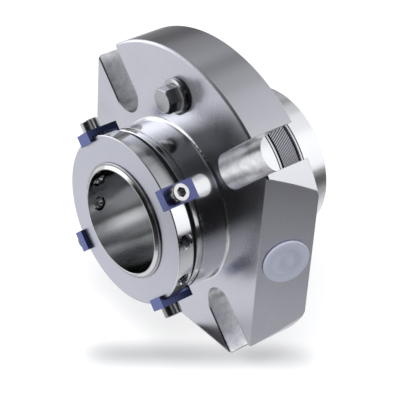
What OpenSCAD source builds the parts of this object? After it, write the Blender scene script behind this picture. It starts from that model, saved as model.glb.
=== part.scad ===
// Cartridge double mechanical seal for a pump shaft.
// The shaft axis is Y. The gland's mounting face lies at y = 0, the pump is on the +Y side,
// and the clamp ring is on the -Y side. Z is up and the gland stands on its lower flat.
// All sizes are in millimetres. Angles round the axis start at +X and turn towards +Z.

/* [Shaft and sleeve] */
// Diameter of the shaft that the sleeve slides over
shaft_d = 50; // [46:0.5:56]
// Radial clearance between the shaft and the sleeve
shaft_fit = 0.03; // [0.01:0.01:0.05]
// Wall of the sleeve
sleeve_wall = 2.55; // [2.3:0.05:3.2]
// Length of sleeve that stands out of the clamp ring
sleeve_proud = 2.1; // [1.8:0.1:4]
// Width of the flat lip left at the sleeve's outboard end
sleeve_lip = 0.5; // [0.4:0.05:0.8]
// Distance from the housing's open end back to the sleeve's end
sleeve_recess = 1.7; // [0.5:0.1:4]
// Axial length of the thick head at the sleeve's pump end
sleeve_head_l = 11; // [9:0.5:12]

/* [Clamp ring] */
// Radial width of the clamp ring
clamp_ring_w = 13.1; // [11.5:0.1:15]
// Axial thickness of the clamp ring
clamp_ring_t = 8.15; // [7.6:0.05:11]
// Gap between the clamp ring and the front of the boss
set_gap = 2.7; // [2:0.1:4]
// Nominal thread diameter of the drive set screws
set_screw_d = 6; // [4:0.5:6.5]
// Length of a drive set screw
set_screw_l = 10; // [8:0.5:12]
// Angle of each drive set screw from the horizontal
set_screw_angle = 15; // [11:1:22]

/* [Gland plate] */
// Thickness of the gland plate
plate_t = 24.7; // [24.5:0.1:32]
// Radial reach of the plate from the slot's inner centre to its rim
slot_reach = 23.6; // [20:0.2:30]
// Width of a bolt slot
slot_w = 17; // [13:0.5:19]
// Depth of the flats cut at the left and right, measured at the front face
side_flat_cut = 15.8; // [11:0.2:17]
// Depth of the flat that the gland stands on
base_flat_cut = 16.5; // [14:0.2:18]
// Slope of the left and right flats
flat_slope = 17; // [0:1:18]
// Chamfer round the plate's rim
rim_chamfer = 0.9; // [0.4:0.1:1.5]

/* [Boss] */
// Length of the boss in front of the plate
boss_l = 17.8; // [17.5:0.1:21]
// Wall of the boss
boss_wall = 5; // [4.2:0.1:6.5]
// Radial room between the sleeve and the boss
boss_room = 6.9; // [6.5:0.1:8]
// Fillet at the root of the boss
boss_fillet = 1.4; // [0.5:0.1:3]

/* [Inboard housing] */
// Length of the housing behind the mounting face
housing_l = 39.7; // [38.5:0.1:46]
// Wall of the housing
housing_wall = 2.35; // [2:0.05:3.5]
// Radial room between the sleeve and the housing
housing_room = 5.4; // [5.2:0.1:6.2]
// Distance from the mounting face to the middle of the knurled band
band_y = 20.6; // [14:0.1:24]
// Width of the knurled band
band_w = 9.4; // [6:0.2:12]
// Depth of the knurled band below the housing's surface
band_depth = 0.35; // [0.2:0.05:0.6]

/* [Mounting gasket] */
// Radial width of the gasket
gasket_w = 5; // [3.5:0.5:8]
// Thickness of the gasket
gasket_t = 1.5; // [1:0.1:1.5]

/* [Ports] */
// Radius of a tapped barrier fluid port
port_r = 8.6; // [7:0.1:9]
// Depth of a tapped port
port_depth = 15; // [13:0.5:16]
// Radius of the passage from a port to the seal chamber
passage_r = 2.5; // [1.5:0.1:2.5]
// Diameter of a shipping plug's flange
plug_flange_d = 22.5; // [20.5:0.5:23]
// Thickness of a shipping plug's flange
plug_flange_t = 1.6; // [1:0.1:2.5]
// Length of a shipping plug's tapered body
plug_body_l = 9; // [6:0.5:12]

/* [Vent plug] */
// Distance of the vent plug outwards from the slots' inner centres
vent_offset = 3.9; // [3:0.1:8]
// Diameter of the vent plug's flange
vent_flange_d = 17; // [15:0.5:19]
// Thickness of the vent plug's flange
vent_flange_t = 2.1; // [1.5:0.1:3]
// Width across the flats of the vent plug's hexagon
vent_hex_af = 11; // [9:0.5:12]
// Height of the vent plug's hexagon
vent_hex_h = 6.5; // [5:0.1:9]
// Nominal thread radius of the vent plug
vent_thread_r = 4.8; // [4:0.1:5.5]
// Length of the vent plug's thread
vent_thread_l = 9; // [6:0.5:10]
// Thickness of the sealing washer under the vent plug
vent_washer_t = 1.1; // [0.8:0.1:1.5]

/* [Setting clips] */
// Width of a setting clip
clip_w = 9.6; // [9:0.1:11]
// Thickness of a clip over the clamp ring's rim
clip_t = 2.8; // [2:0.1:4]
// Thickness of the hook in front of the clamp ring
clip_hook_t = 2; // [1.6:0.1:3.5]
// Reach of the hook down the clamp ring's face
clip_hook_reach = 2.6; // [1.5:0.1:4]
// Overhang of the clip behind the boss's front edge
clip_overhang = 3.8; // [3:0.1:4.5]
// Thickness of the toe that drops into the boss's groove
clip_toe_t = 1; // [0.8:0.1:1.3]
// Depth of the groove that takes the toes
clip_groove_depth = 1.5; // [1.2:0.1:1.8]
// Nominal diameter of a clip screw
clip_screw_d = 5; // [4:0.5:5]
// Length of a clip screw under its head
clip_screw_l = 10; // [8:0.5:12]

/* [Seal faces] */
// Width of the lapped nose on a carbon ring
nose_w = 2; // [1.5:0.1:2.4]
// Height of the lapped nose
nose_h = 2; // [1:0.1:2.5]
// Axial length of a rotating ring
rotary_l = 6.5; // [5:0.1:7.5]
// Axial thickness of a spring follower
follower_t = 2; // [1.5:0.1:2.4]
// Axial length of the inboard carbon ring without its nose
inboard_face_l = 13; // [8:0.5:14]
// Axial length of the outboard carbon ring without its nose
outboard_face_l = 5; // [4.5:0.1:5.2]
// Section diameter of the O-rings on the seal rings
ring_section = 1.8; // [1.6:0.1:2]

/* [Springs] */
// Number of springs behind each carbon ring
spring_count = 6; // [4:2:6]
// Outside radius of a spring coil
spring_r = 1.6; // [1.2:0.05:1.7]
// Wire diameter of a spring
wire_d = 0.55; // [0.4:0.05:0.6]
// Turns in a spring
spring_turns = 5; // [3:1:6]

/* [Hidden] */

// Smoothness of turned surfaces, and of small round features
$fn = 96;
small_fn = 48;
// Overlap that makes a cut pass cleanly through a face
cut = 1;
// Radial clearance of a part that is pushed on by hand
hand_fit = 0.03;
// Radial clearance of a screw in its thread, modelled as a plain hole
thread_fit = 0.05;
// Radial clearance of a dynamic O-ring, and of a loose pin in its hole
ring_fit = 0.04;
pin_fit = 0.2;
// Running clearance between the sleeve and what stands still round it
run_gap = 0.5;
// Film between two lapped faces
film = 0.02;
// Bevel on the edges of turned parts
bevel = 0.5;
small_bevel = 0.3;

// Radii that follow from the shaft outwards
bore_r = shaft_d / 2 + shaft_fit;
sleeve_r = bore_r + sleeve_wall;
clamp_in_r = sleeve_r + hand_fit;
clamp_r = sleeve_r + clamp_ring_w;
housing_in_r = sleeve_r + housing_room;
housing_r = housing_in_r + housing_wall;
spigot_step = 0.6;
spigot_r = housing_r - spigot_step;
boss_in_r = sleeve_r + boss_room;
boss_r = boss_in_r + boss_wall;
web_in_r = sleeve_r + run_gap;
gasket_clear = 0.8;
gasket_in_r = max(housing_r + ring_section, boss_in_r) + gasket_clear;
gasket_r = gasket_in_r + gasket_w;
slot_land = 1.7;
slot_c = gasket_r + slot_land + slot_w / 2;
gland_r = slot_c + slot_reach;
side_flat = gland_r - side_flat_cut;
base_flat = gland_r - base_flat_cut;

// Places along the axis
plate_front = -plate_t;
boss_front = plate_front - boss_l;
clamp_rear = boss_front - set_gap;
clamp_front = clamp_rear - clamp_ring_t;
clamp_mid = (clamp_front + clamp_rear) / 2;
sleeve_front = clamp_front - sleeve_proud;
sleeve_rear = housing_l - sleeve_recess;
head_front = sleeve_rear - sleeve_head_l;

// The web that stands between the two chambers and carries both sets of springs
web_t = 9;
web_setback = 5;
web_front = plate_front + web_setback;
web_rear = web_front + web_t;
pocket_depth = 3.8;
spigot_l = 5;
housing_ring_y = -3.1;

// Inboard faces, placed from the sleeve's head towards the web
in_face_y = head_front - rotary_l;
in_nose_y = in_face_y - film - nose_h;
in_follower_y = in_nose_y - inboard_face_l - follower_t;
// Outboard faces, placed from the web towards the clamp ring
spring_room = 2;
out_follower_y = web_front - spring_room - follower_t;
out_nose_y = out_follower_y - outboard_face_l;
out_face_y = out_nose_y - nose_h - film;
out_seat_y = out_face_y - rotary_l;
holder_front = boss_front + bevel;

// Rings that run between the sleeve and the chamber walls
loose = 0.3;
rotary_in_r = sleeve_r + loose;
rotary_r = housing_in_r - loose - bevel;
face_in_r = web_in_r + loose;
in_face_r = housing_in_r - loose;
out_face_r = boss_in_r - loose;
holder_r = boss_in_r - run_gap;
holder_lip = 1.1;
pitch_r = (web_in_r + housing_in_r) / 2;
nose_in_r = pitch_r - nose_w / 2;
head_r = housing_in_r - run_gap - small_bevel;

// O-ring grooves
section_r = ring_section / 2;
snug_r = (ring_section - ring_fit) / 2;
groove_w = ring_section * 1.3;
sleeve_groove_r = rotary_in_r - ring_section;
shaft_ring_section = 2.2;
shaft_groove_depth = shaft_ring_section + ring_fit;
shaft_ring_setback = 4;

// Springs and pins
pocket_r = spring_r + loose;
spring_step = 360 / spring_count;
pin_r = 1.2;
pin_angles = [spring_step / 2, spring_step / 2 + 180];
flow_angles = [for (k = [1:spring_count - 1]) if ((k * 2) % spring_count != 0) k * spring_step + spring_step / 2];
pin_reach = 4;
drive_pin_r = 1;
drive_angles = [90, 270];

// Boss front details
lip_groove_w = 1.5;
line_groove_w = 0.6;
mouth_r = boss_in_r + 2;
mouth_depth = 1.5;
hub_r = sleeve_r + 3.4;
excluder_gap = 0.3;
excluder_rim = 1.2;

// Snap ring in front of the clamp ring
snap_t = 0.8;
snap_groove_depth = 1.3;
snap_shoulder = 0.5;
snap_stand = 0.35;
snap_land = 0.25;

// Screw details
set_screw_clear = 0.35;
sleeve_hole_fit = 0.5;
set_screw_cup_r = 1.9;
set_screw_cup_depth = 1.2;
set_screw_socket_af = set_screw_d / 2;
set_screw_socket_depth = 3;
set_screw_bevel = 0.6;
hole_chamfer = 0.6;
clip_head_r = clip_screw_d * 0.85;
clip_head_h = clip_screw_d;
clip_socket_af = clip_screw_d * 0.8;
clip_socket_depth = 2.5;
clip_tap_spare = 1.5;
clip_hole_fit = 0.25;

// Setting clip places
clip_clear = 0.05;
clip_low = clamp_r + clip_clear;
clip_top = clip_low + clip_t;
clip_front = clamp_front - clip_hook_t;
clip_rear = boss_front + clip_overhang;
hook_in = clamp_r - clip_hook_reach;
toe_in = boss_r - clip_groove_depth + clip_hole_fit;
toe_setback = (lip_groove_w - clip_toe_t) / 2;
lip_groove_y = clip_rear - clip_toe_t - toe_setback;

// Port places: the port's axis leaves the middle of each sloping flat square to it
flat_mid_x = side_flat + plate_t / 2 * tan(flat_slope);
passage_y = (web_rear - spigot_l) / 2;
edge_break = 0.8;
edge_slope = 50;
plug_body_clear = 0.15;
plug_taper = 0.7;
plug_dish_r = 8.6;
plug_dish_depth = 0.45;
plug_button_r = 2.4;

// Vent places
vent_radius = slot_c + vent_offset;
vent_neck = 1.2;
hex_turn = 15;
hex_cone = 3.2;

screw_angles = [set_screw_angle, -set_screw_angle, 180 - set_screw_angle, 180 + set_screw_angle];
clip_angles = [45, 135, 225, 315];
slot_angles = [45, 135, 225, 315];

// A turned solid: the profile's x is the radius and its y is the place along the shaft
module spin() {
    rotate([-90, 0, 0]) rotate_extrude() children();
}

// A plain ring between two radii and two places along the shaft
module ring(r_in, r_out, y0, y1) {
    spin() translate([r_in, y0]) square([r_out - r_in, y1 - y0]);
}

// A ring with all four edges bevelled
module bevelled_ring(r_in, r_out, y0, y1, b) {
    spin() polygon([[r_in + b, y0], [r_out - b, y0], [r_out, y0 + b], [r_out, y1 - b],
                    [r_out - b, y1], [r_in + b, y1], [r_in, y1 - b], [r_in, y0 + b]]);
}

// An O-ring of round section
module o_ring(r_mid, r_sec, y) {
    spin() translate([r_mid, y]) circle(r_sec, $fn = small_fn);
}

// A rod along the shaft axis
module rod_y(r, y0, y1) {
    translate([0, y0, 0]) rotate([-90, 0, 0]) cylinder(r = r, h = y1 - y0, $fn = small_fn);
}

// A rod along X
module rod_x(r, x0, x1) {
    translate([x0, 0, 0]) rotate([0, 90, 0]) cylinder(r = r, h = x1 - x0, $fn = small_fn);
}

// Turns what lies on +X to an angle round the shaft
module clock(a) {
    rotate([0, -a, 0]) children();
}

// Puts what lies on +X on the pitch circle of the springs at an angle
module on_pitch(a) {
    clock(a) translate([pitch_r, 0, 0]) children();
}

// Puts what lies on the +X side on the side asked for
module on_side(side) {
    if (side < 0) mirror([1, 0, 0]) children();
    else children();
}

// Moves a flat's own frame to the middle of a side flat: its +X leaves the flat
module at_flat(side) {
    on_side(side) translate([flat_mid_x, plate_front / 2, 0]) rotate([0, 0, -flat_slope]) children();
}

module hexagon(af, h) {
    cylinder(r = af / 2 / cos(30), h = h, $fn = 6);
}

module bolt_slot(a) {
    clock(a) translate([slot_c, plate_front - cut, 0]) {
        rotate([-90, 0, 0]) cylinder(d = slot_w, h = plate_t + 2 * cut);
        translate([0, 0, -slot_w / 2]) cube([slot_reach + cut, plate_t + 2 * cut, slot_w]);
    }
}

module side_flat_cut_shape(side) {
    at_flat(side) translate([0, -plate_t, -gland_r]) cube([gland_r, 2 * plate_t, 2 * gland_r]);
    // Broken edge between the flat and the front face
    on_side(side) translate([side_flat - edge_break, plate_front, -gland_r])
        rotate([0, 0, -edge_slope]) translate([0, -gland_r, 0])
        cube([gland_r, 2 * gland_r, 2 * gland_r]);
}

module gland_outline() {
    difference() {
        bevelled_ring(web_in_r, gland_r, plate_front, 0, rim_chamfer);
        for (side = [-1, 1]) side_flat_cut_shape(side);
        translate([-gland_r, plate_front - cut, -base_flat - gland_r])
            cube([2 * gland_r, plate_t + 2 * cut, gland_r]);
        for (a = slot_angles) bolt_slot(a);
    }
}

module boss_profile() {
    difference() {
        union() {
            translate([web_in_r, boss_front]) square([boss_r - web_in_r, boss_l + cut]);
            translate([boss_r - cut, plate_front - boss_fillet])
                square([boss_fillet + cut, boss_fillet + cut]);
        }
        translate([boss_r + boss_fillet, plate_front - boss_fillet]) circle(boss_fillet);
        // Groove for the clip toes
        translate([boss_r - clip_groove_depth, lip_groove_y])
            square([clip_groove_depth + cut, lip_groove_w]);
        translate([boss_r, boss_front]) rotate(45)
            square(small_bevel * sqrt(2), center = true);
    }
}

module gland_plate() {
    color([0.74, 0.76, 0.8]) difference() {
        union() {
            gland_outline();
            spin() boss_profile();
        }
        // Outboard chamber and its mouth
        ring(0, boss_in_r, boss_front - cut, web_front);
        ring(0, mouth_r, boss_front - cut, boss_front + mouth_depth);
        // Inboard chamber, which also takes the housing's spigot
        ring(0, housing_in_r, web_rear, cut);
        ring(0, spigot_r + hand_fit, -spigot_l, cut);
        ring(0, spigot_r + ring_section, housing_ring_y - groove_w / 2, housing_ring_y + groove_w / 2);
        // Gasket recess in the mounting face
        ring(gasket_in_r, gasket_r, -gasket_t, cut);
        // Spring pockets, pin holes and flow holes in the web
        for (k = [0:spring_count - 1]) on_pitch(k * spring_step) {
            rod_y(pocket_r, web_front - cut, web_front + pocket_depth);
            rod_y(pocket_r, web_rear - pocket_depth, web_rear + cut);
        }
        for (a = pin_angles) on_pitch(a) {
            rod_y(pin_r + hand_fit, web_front - cut, web_front + pocket_depth);
            rod_y(pin_r + hand_fit, web_rear - pocket_depth, web_rear + cut);
        }
        for (a = flow_angles) on_pitch(a) rod_y(pocket_r, web_front - cut, web_rear + cut);
        // Tapped ports with their passages to the inboard chamber
        for (side = [-1, 1]) {
            at_flat(side) rod_x(port_r, -port_depth, cut);
            at_flat(side) rod_x(port_r + hole_chamfer, -hole_chamfer, cut);
            on_side(side) translate([0, passage_y, 0])
                rod_x(passage_r, housing_in_r - cut, flat_mid_x - port_depth);
        }
        // Vent bore, its passage and its spot face
        translate([0, 0, vent_radius]) rod_y(vent_thread_r + thread_fit, plate_front - cut, passage_y + passage_r);
        translate([0, passage_y, housing_in_r - cut])
            cylinder(r = passage_r, h = vent_radius - housing_in_r, $fn = small_fn);
    }
}

module gland_gasket() {
    color([0.16, 0.16, 0.17]) ring(gasket_in_r + clip_clear, gasket_r - clip_clear, -gasket_t, 0);
}

module inboard_housing() {
    color([0.8, 0.81, 0.84]) spin() difference() {
        union() {
            translate([housing_in_r, -spigot_l]) square([spigot_r - housing_in_r, spigot_l + cut]);
            translate([housing_in_r, 0]) square([housing_wall, housing_l]);
        }
        // Recessed band and the turned lines on both sides of it
        translate([housing_r - band_depth, band_y - band_w / 2]) square([housing_wall, band_w]);
        for (s = [-1, 1]) {
            translate([housing_r - 2 * band_depth, band_y + s * (band_w / 2 + line_groove_w) - line_groove_w])
                square([housing_wall, 2 * line_groove_w]);
            translate([housing_r - band_depth, band_y + s * (band_w / 2 + 4 * line_groove_w) - line_groove_w / 2])
                square([housing_wall, line_groove_w]);
        }
        translate([housing_r, housing_l]) rotate(45) square(bevel * sqrt(2), center = true);
        translate([housing_in_r, housing_l]) rotate(45) square(bevel * sqrt(2), center = true);
        translate([spigot_r, -spigot_l]) rotate(45) square(bevel * sqrt(2), center = true);
    }
}

module housing_o_ring() {
    color([0.1, 0.1, 0.1]) o_ring(spigot_r + section_r, snug_r, housing_ring_y);
}

module excluder_ring() {
    color([0.06, 0.06, 0.06]) spin() {
        translate([hub_r + excluder_gap, clamp_rear + excluder_gap])
            square([boss_r - excluder_rim - hub_r - excluder_gap, set_gap - excluder_gap]);
        translate([boss_in_r, boss_front - small_bevel])
            square([mouth_r - boss_in_r - hand_fit, mouth_depth - hand_fit + small_bevel]);
    }
}

module vent_plug() {
    color([0.55, 0.57, 0.6]) translate([0, 0, vent_radius]) {
        seat = plate_front - vent_washer_t;
        rod_y(vent_thread_r, seat - cut, plate_front + vent_thread_l);
        spin() polygon([[0, seat], [vent_flange_d / 2, seat],
                        [vent_flange_d / 2, seat - vent_flange_t + bevel],
                        [vent_flange_d / 2 - vent_neck, seat - vent_flange_t],
                        [0, seat - vent_flange_t]]);
        // The hexagon's corners are turned off in a cone
        intersection() {
            translate([0, seat - vent_flange_t + cut, 0]) rotate([90, 0, 0]) rotate([0, 0, hex_turn])
                hexagon(vent_hex_af, vent_hex_h + cut);
            spin() polygon([[0, seat], [vent_hex_af, seat],
                            [vent_hex_af, seat - vent_flange_t - vent_hex_h + hex_cone],
                            [vent_hex_af / 2 - small_bevel, seat - vent_flange_t - vent_hex_h],
                            [0, seat - vent_flange_t - vent_hex_h]]);
        }
    }
}

module vent_washer() {
    color([0.72, 0.45, 0.28]) translate([0, 0, vent_radius])
        bevelled_ring(vent_thread_r + pin_fit, vent_flange_d / 2 - bevel,
                      plate_front - vent_washer_t, plate_front, small_bevel / 2);
}

// A tapered plastic plug with a dished flange, pushed into the port
module shipping_plug(side) {
    color([0.86, 0.88, 0.92]) at_flat(side) rotate([0, 90, 0]) rotate_extrude() difference() {
        union() {
            translate([0, clip_clear]) square([plug_flange_d / 2 - plug_flange_t / 2, plug_flange_t]);
            translate([plug_flange_d / 2 - plug_flange_t / 2, clip_clear + plug_flange_t / 2])
                intersection() {
                    circle(plug_flange_t / 2, $fn = small_fn);
                    translate([0, -plug_flange_t]) square(2 * plug_flange_t);
                }
            polygon([[0, -plug_body_l], [port_r - plug_body_clear - plug_taper, -plug_body_l],
                     [port_r - plug_body_clear, clip_clear], [0, clip_clear]]);
        }
        translate([0, clip_clear + plug_flange_t])
            polygon([[plug_button_r, 0], [(plug_button_r + plug_dish_r) / 2, -plug_dish_depth],
                     [plug_dish_r, 0], [plug_dish_r, plug_flange_t], [plug_button_r, plug_flange_t]]);
    }
}

module port_plug_in() {
    shipping_plug(1);
}

module port_plug_out() {
    shipping_plug(-1);
}

module antirotation_pins() {
    color([0.7, 0.7, 0.72]) for (a = pin_angles) on_pitch(a) {
        rod_y(pin_r, web_rear - pocket_depth, in_follower_y + follower_t + pin_reach / 2);
        rod_y(pin_r, out_follower_y - pin_reach / 2, web_front + pocket_depth);
    }
}

// One coil spring along the shaft axis, swept as a ring of points round the helix
function coil_point(r, t, y0, y1) =
    [r * cos(360 * spring_turns * t), y0 + (y1 - y0) * t, r * sin(360 * spring_turns * t)];

module coil_spring(y0, y1) {
    steps = 10 * spring_turns;
    sides = 6;
    mid_r = spring_r - wire_d / 2;
    low = y0 + wire_d / 2;
    high = y1 - wire_d / 2;
    points = [for (i = [0:steps]) let (
                  c = coil_point(mid_r, i / steps, low, high),
                  out = [cos(360 * spring_turns * i / steps), 0, sin(360 * spring_turns * i / steps)])
              for (j = [0:sides - 1])
                  c + wire_d / 2 * (cos(360 * j / sides) * out + sin(360 * j / sides) * [0, 1, 0])];
    walls = [for (i = [0:steps - 1]) for (j = [0:sides - 1]) let (k = (j + 1) % sides, n = i * sides)
             for (w = [[n + j, n + k, n + sides + k], [n + j, n + sides + k, n + sides + j]]) w];
    ends = [[for (j = [sides - 1:-1:0]) j], [for (j = [0:sides - 1]) steps * sides + j]];
    polyhedron(points, concat(walls, ends), convexity = 10);
}

module inboard_springs() {
    color([0.6, 0.62, 0.65]) for (k = [0:spring_count - 1]) on_pitch(k * spring_step)
        coil_spring(web_rear - pocket_depth, in_follower_y);
}

module outboard_springs() {
    color([0.6, 0.62, 0.65]) for (k = [0:spring_count - 1]) on_pitch(k * spring_step)
        coil_spring(out_follower_y + follower_t, web_front + pocket_depth);
}

// A follower plate with holes for the antirotation pins
module follower(r_out, y0) {
    difference() {
        ring(face_in_r, r_out, y0, y0 + follower_t);
        for (a = pin_angles) on_pitch(a) rod_y(pin_r + pin_fit, y0 - cut, y0 + follower_t + cut);
    }
}

// A carbon ring: dir is +1 when its nose points to the pump and -1 when it points out
module seal_face(r_out, back_y, length, dir) {
    groove_y = back_y + dir * length / 2;
    difference() {
        spin() difference() {
            union() {
                translate([face_in_r, min(back_y, back_y + dir * length)])
                    square([r_out - face_in_r, length]);
                translate([nose_in_r, min(back_y + dir * (length - cut), back_y + dir * (length + nose_h))])
                    square([nose_w, nose_h + cut]);
            }
            translate([r_out - ring_section + loose, groove_y - groove_w / 2])
                square([ring_section, groove_w]);
        }
        for (a = pin_angles) on_pitch(a)
            rod_y(pin_r + pin_fit, min(back_y - dir * cut, back_y + dir * pin_reach),
                  max(back_y - dir * cut, back_y + dir * pin_reach));
    }
}

module inboard_follower() {
    color([0.7, 0.71, 0.73]) follower(in_face_r, in_follower_y);
}

module inboard_seal_face() {
    color([0.2, 0.2, 0.22]) seal_face(in_face_r, in_follower_y + follower_t, inboard_face_l, 1);
}

module inboard_face_o_ring() {
    color([0.1, 0.1, 0.1]) o_ring(housing_in_r - ring_section + snug_r, snug_r,
                                  in_follower_y + follower_t + inboard_face_l / 2);
}

module outboard_follower() {
    color([0.7, 0.71, 0.73]) follower(out_face_r, out_follower_y);
}

module outboard_seal_face() {
    color([0.2, 0.2, 0.22]) seal_face(out_face_r, out_follower_y, outboard_face_l, -1);
}

module outboard_face_o_ring() {
    color([0.1, 0.1, 0.1]) o_ring(boss_in_r - ring_section + snug_r, snug_r,
                                  out_follower_y - outboard_face_l / 2);
}

module sleeve() {
    snap_front = clamp_front - snap_t - hand_fit - snap_land;
    shoulder_r = sleeve_r - snap_groove_depth + snap_shoulder;
    color([0.66, 0.67, 0.7]) difference() {
        spin() difference() {
            union() {
                translate([bore_r, sleeve_front]) square([sleeve_wall, sleeve_rear - sleeve_front]);
                translate([bore_r, head_front]) square([head_r - bore_r, sleeve_head_l]);
            }
            // Snap ring groove
            translate([sleeve_r - snap_groove_depth, clamp_front - snap_t - hand_fit])
                square([sleeve_wall, snap_t + hand_fit]);
            // Grooves for the O-rings under the two rotating rings
            for (y = [in_face_y + rotary_l / 2, out_face_y - rotary_l / 2])
                translate([sleeve_groove_r, y - groove_w / 2]) square([sleeve_wall, groove_w]);
            // Groove for the shaft O-ring
            translate([bore_r - cut, sleeve_rear - shaft_ring_setback - shaft_ring_section * 1.25 / 2])
                square([shaft_groove_depth + cut, shaft_ring_section * 1.25]);
            // Bevel from a thin lip up to the shoulder that holds the snap ring
            polygon([[bore_r + sleeve_lip, sleeve_front - cut], [bore_r + sleeve_lip, sleeve_front],
                     [shoulder_r, snap_front], [shoulder_r, clamp_front - snap_t - hand_fit + cut / 2],
                     [sleeve_r + cut, clamp_front - snap_t - hand_fit + cut / 2], [sleeve_r + cut, sleeve_front - cut]]);
            translate([bore_r, sleeve_front]) rotate(45) square(small_bevel / 2 * sqrt(2), center = true);
            translate([head_r, sleeve_rear]) rotate(45) square(bevel * sqrt(2), center = true);
        }
        // Holes that let the set screws reach the shaft
        for (a = screw_angles) clock(a) translate([0, clamp_mid, 0])
            rod_x(set_screw_d / 2 + sleeve_hole_fit, bore_r - cut, sleeve_r + cut);
        // Pin holes in the head
        for (a = drive_angles) on_pitch(a)
            rod_y(drive_pin_r + hand_fit, head_front - cut, head_front + pin_reach / 2);
    }
}

module shaft_o_ring() {
    color([0.1, 0.1, 0.1]) o_ring(bore_r + shaft_ring_section / 2, shaft_ring_section / 2,
                                  sleeve_rear - shaft_ring_setback);
}

module clamp_ring() {
    color([0.76, 0.78, 0.82]) difference() {
        union() {
            bevelled_ring(clamp_in_r, clamp_r, clamp_front, clamp_rear, small_bevel);
            ring(clamp_in_r, hub_r, clamp_rear - cut, holder_front);
        }
        for (a = screw_angles) clock(a) translate([0, clamp_mid, 0]) {
            rod_x(set_screw_d / 2 + thread_fit, clamp_in_r - cut, clamp_r + cut);
            translate([clamp_r - hole_chamfer, 0, 0]) rotate([0, 90, 0])
                cylinder(r1 = set_screw_d / 2 + thread_fit, r2 = set_screw_d / 2 + thread_fit + 2 * hole_chamfer,
                         h = 2 * hole_chamfer, $fn = small_fn);
        }
        for (a = clip_angles) clock(a) translate([0, clamp_mid, 0])
            rod_x(clip_screw_d / 2 + thread_fit, clip_top - clip_screw_l - clip_tap_spare, clamp_r + cut);
    }
}

// An open wire ring that keeps the clamp ring on the sleeve
module snap_ring() {
    snap_cut = 4;
    color([0.6, 0.61, 0.63]) difference() {
        bevelled_ring(sleeve_r - snap_groove_depth + hand_fit, sleeve_r + snap_stand,
                      clamp_front - snap_t, clamp_front, small_bevel);
        rotate([0, 180, 0]) translate([0, clamp_front - snap_t - cut, -snap_cut / 2])
            cube([sleeve_r + 2 * snap_stand, snap_t + 2 * cut, snap_cut]);
    }
}

// A cup on the sleeve that carries the outboard rotating ring
module rotary_holder() {
    color([0.68, 0.69, 0.72]) difference() {
        union() {
            bevelled_ring(clamp_in_r, holder_r, holder_front, out_seat_y, small_bevel);
            ring(holder_r - holder_lip, holder_r, out_seat_y - bevel, out_face_y - nose_h);
        }
        for (a = drive_angles) on_pitch(a)
            rod_y(drive_pin_r + hand_fit, out_seat_y - pin_reach / 2, out_seat_y + cut);
    }
}

module drive_pins() {
    color([0.7, 0.7, 0.72]) for (a = drive_angles) on_pitch(a) {
        rod_y(drive_pin_r, out_seat_y - pin_reach / 2, out_seat_y + pin_reach / 2);
        rod_y(drive_pin_r, head_front - pin_reach / 2, head_front + pin_reach / 2);
    }
}

module rotary_ring(r_out, y0, y1, pin_y) {
    difference() {
        bevelled_ring(rotary_in_r, r_out, y0, y1, small_bevel);
        for (a = drive_angles) on_pitch(a)
            rod_y(drive_pin_r + hand_fit, pin_y - pin_reach / 2, pin_y + pin_reach / 2);
    }
}

module inboard_rotary_ring() {
    color([0.25, 0.27, 0.3]) rotary_ring(rotary_r, in_face_y, head_front, head_front);
}

module inboard_rotary_o_ring() {
    color([0.1, 0.1, 0.1]) o_ring(rotary_in_r - section_r, snug_r, in_face_y + rotary_l / 2);
}

module outboard_rotary_ring() {
    color([0.25, 0.27, 0.3]) rotary_ring(holder_r - holder_lip - hand_fit, out_seat_y, out_face_y, out_seat_y);
}

module outboard_rotary_o_ring() {
    color([0.1, 0.1, 0.1]) o_ring(rotary_in_r - section_r, snug_r, out_face_y - rotary_l / 2);
}

// A drive set screw with a hexagon socket and a cup point
module set_screw(a) {
    r = set_screw_d / 2;
    tip = bore_r + set_screw_clear;
    color([0.35, 0.36, 0.38]) clock(a) translate([tip, clamp_mid, 0]) rotate([0, 90, 0]) difference() {
        union() {
            cylinder(r1 = r - set_screw_bevel, r2 = r, h = set_screw_bevel, $fn = small_fn);
            translate([0, 0, set_screw_bevel])
                cylinder(r = r, h = set_screw_l - 2 * set_screw_bevel, $fn = small_fn);
            translate([0, 0, set_screw_l - set_screw_bevel])
                cylinder(r1 = r, r2 = r - set_screw_bevel, h = set_screw_bevel, $fn = small_fn);
        }
        translate([0, 0, set_screw_l - set_screw_socket_depth])
            hexagon(set_screw_socket_af, set_screw_socket_depth + cut);
        // Cup in the point, whose rim bites on the shaft
        translate([0, 0, -hand_fit])
            cylinder(r1 = set_screw_cup_r, r2 = set_screw_cup_r / 4, h = set_screw_cup_depth, $fn = small_fn);
    }
}

// An L-shaped spacer: a hook over the clamp ring's face, a bar along its rim and a toe in the boss's groove
module setting_clip(a) {
    color([0.33, 0.36, 0.62]) clock(a) difference() {
        union() {
            translate([clip_low - cut, clip_front, -clip_w / 2])
                cube([clip_t + cut, clip_rear - clip_front, clip_w]);
            translate([hook_in, clip_front, -clip_w / 2])
                cube([clip_top - hook_in, clip_hook_t - clip_clear, clip_w]);
            translate([toe_in - cut, clip_rear - clip_toe_t, -clip_w / 2])
                cube([clip_top - toe_in + cut, clip_toe_t, clip_w]);
        }
        // The underside follows the round rim, and the toe follows the round groove
        ring(0, clip_low, clip_front + clip_hook_t - clip_clear, clip_rear - clip_toe_t);
        ring(0, toe_in, clip_rear - clip_toe_t - cut, clip_rear + cut);
        translate([0, clamp_mid, 0]) rod_x(clip_screw_d / 2 + clip_hole_fit, clamp_r - cut, clip_top + cut);
    }
}

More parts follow.
